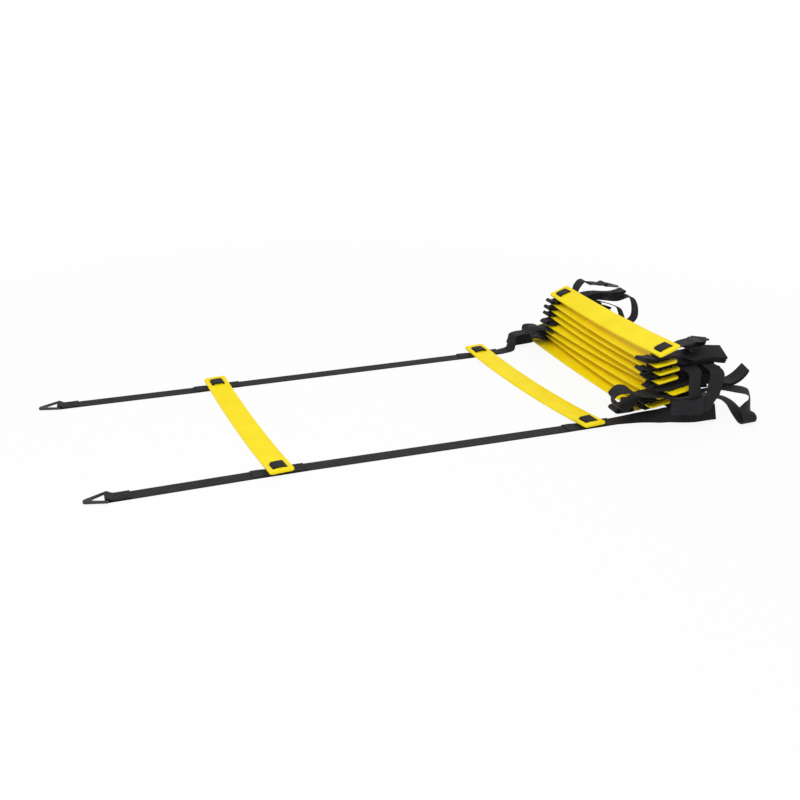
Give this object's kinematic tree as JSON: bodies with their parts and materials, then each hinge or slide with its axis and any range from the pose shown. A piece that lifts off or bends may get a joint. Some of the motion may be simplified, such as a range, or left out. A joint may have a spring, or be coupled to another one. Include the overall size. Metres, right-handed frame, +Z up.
{
  "type": "agility ladder",
  "caption": "Sports agility ladder: flat yellow slat rungs on two black webbing straps with rings, one end laid out and the rest piled with its straps looped beside it.",
  "frame": {"origin": "on the floor, under the middle of the first laid-out rung", "axes": "+X runs along the straps from the free end to the pile, +Y along the rungs, +Z up"},
  "size_m": [1.1244, 0.5259, 0.1418],
  "materials": {
    "rung_yellow": "smooth moulded yellow plastic with a soft sheen",
    "webbing_black": "black woven polypropylene webbing",
    "ring_black": "black moulded plastic"
  },
  "bodies": {
    "pile": {"rung_03": "rung_yellow", "rung_04": "rung_yellow", "rung_05": "rung_yellow", "rung_06": "rung_yellow", "rung_07": "rung_yellow", "rung_08": "rung_yellow", "rung_09": "rung_yellow", "rung_10": "rung_yellow", "near_keeper_03": "webbing_black", "near_keeper_04": "webbing_black", "near_keeper_05": "webbing_black", "near_keeper_06": "webbing_black", "near_keeper_07": "webbing_black", "near_keeper_08": "webbing_black", "near_keeper_09": "webbing_black", "near_keeper_10": "webbing_black", "far_keeper_03": "webbing_black", "far_keeper_04": "webbing_black", "far_keeper_05": "webbing_black", "far_keeper_06": "webbing_black", "far_keeper_07": "webbing_black", "far_keeper_08": "webbing_black", "far_keeper_09": "webbing_black", "far_keeper_10": "webbing_black", "near_bay_02": "webbing_black", "near_bay_03": "webbing_black", "near_bay_04": "webbing_black", "near_bay_05": "webbing_black", "near_bay_06": "webbing_black", "near_bay_07": "webbing_black", "near_bay_08": "webbing_black", "near_bay_09": "webbing_black", "far_bay_02": "webbing_black", "far_bay_03": "webbing_black", "far_bay_04": "webbing_black", "far_bay_05": "webbing_black", "far_bay_06": "webbing_black", "far_bay_07": "webbing_black", "far_bay_08": "webbing_black", "far_bay_09": "webbing_black", "near_tail_10": "webbing_black", "far_tail_10": "webbing_black"},
    "rung_2": {"rung_02": "rung_yellow", "near_keeper_02": "webbing_black", "far_keeper_02": "webbing_black"},
    "bay_1": {"near_bay_01": "webbing_black", "far_bay_01": "webbing_black"},
    "rung_1": {"rung_01": "rung_yellow", "near_keeper_01": "webbing_black", "far_keeper_01": "webbing_black"},
    "near_tail": {"near_tail_01": "webbing_black"},
    "far_tail": {"far_tail_01": "webbing_black"},
    "near_ring": {"near_ring_01": "ring_black"},
    "far_ring": {"far_ring_01": "ring_black"},
    "near_pile_ring": {"near_ring_10": "ring_black"},
    "far_pile_ring": {"far_ring_10": "ring_black"}
  },
  "joints": [
    {"name": "rung_2_fold", "type": "hinge", "parent": "pile", "child": "rung_2", "pos_m": [0.54288, -0.00359, 0.00175], "axis": [-0.1115, 0.9938, 0], "range_deg": [0, 50]},
    {"name": "bay_1_fold", "type": "hinge", "parent": "rung_2", "child": "bay_1", "pos_m": [0.45712, -0.01321, 0.00175], "axis": [0.1115, -0.9938, 0], "range_deg": [-125, 0]},
    {"name": "rung_1_fold", "type": "hinge", "parent": "bay_1", "child": "rung_1", "pos_m": [0.04294, 0.00421, 0.00175], "axis": [-0.0976, 0.9952, 0], "range_deg": [0, 145]},
    {"name": "near_tail_fold", "type": "hinge", "parent": "rung_1", "child": "near_tail", "pos_m": [-0.04294, -0.00421, 0.00175], "axis": [0.0976, -0.9952, 0], "range_deg": [-120, 0]},
    {"name": "far_tail_fold", "type": "hinge", "parent": "rung_1", "child": "far_tail", "pos_m": [-0.04294, -0.00421, 0.00175], "axis": [0.0976, -0.9952, 0], "range_deg": [-120, 0]},
    {"name": "near_ring_swing", "type": "hinge", "parent": "near_tail", "child": "near_ring", "pos_m": [-0.22874, -0.18811, 0.0037], "axis": [-0.0081, 1, 0], "range_deg": [-100, 155]},
    {"name": "near_pile_ring_swing", "type": "hinge", "parent": "pile", "child": "near_pile_ring", "pos_m": [0.71954, -0.18135, 0.11877], "axis": [0.7682, -0.6402, 0], "range_deg": [0, 110]},
    {"name": "far_ring_swing", "type": "hinge", "parent": "far_tail", "child": "far_ring", "pos_m": [-0.29016, 0.19311, 0.0037], "axis": [0.0257, 0.9997, 0], "range_deg": [-100, 155]},
    {"name": "far_pile_ring_swing", "type": "hinge", "parent": "pile", "child": "far_pile_ring", "pos_m": [0.72358, 0.15203, 0.12084], "axis": [0.0587, -0.9983, 0], "range_deg": [0, 110]}
  ]
}
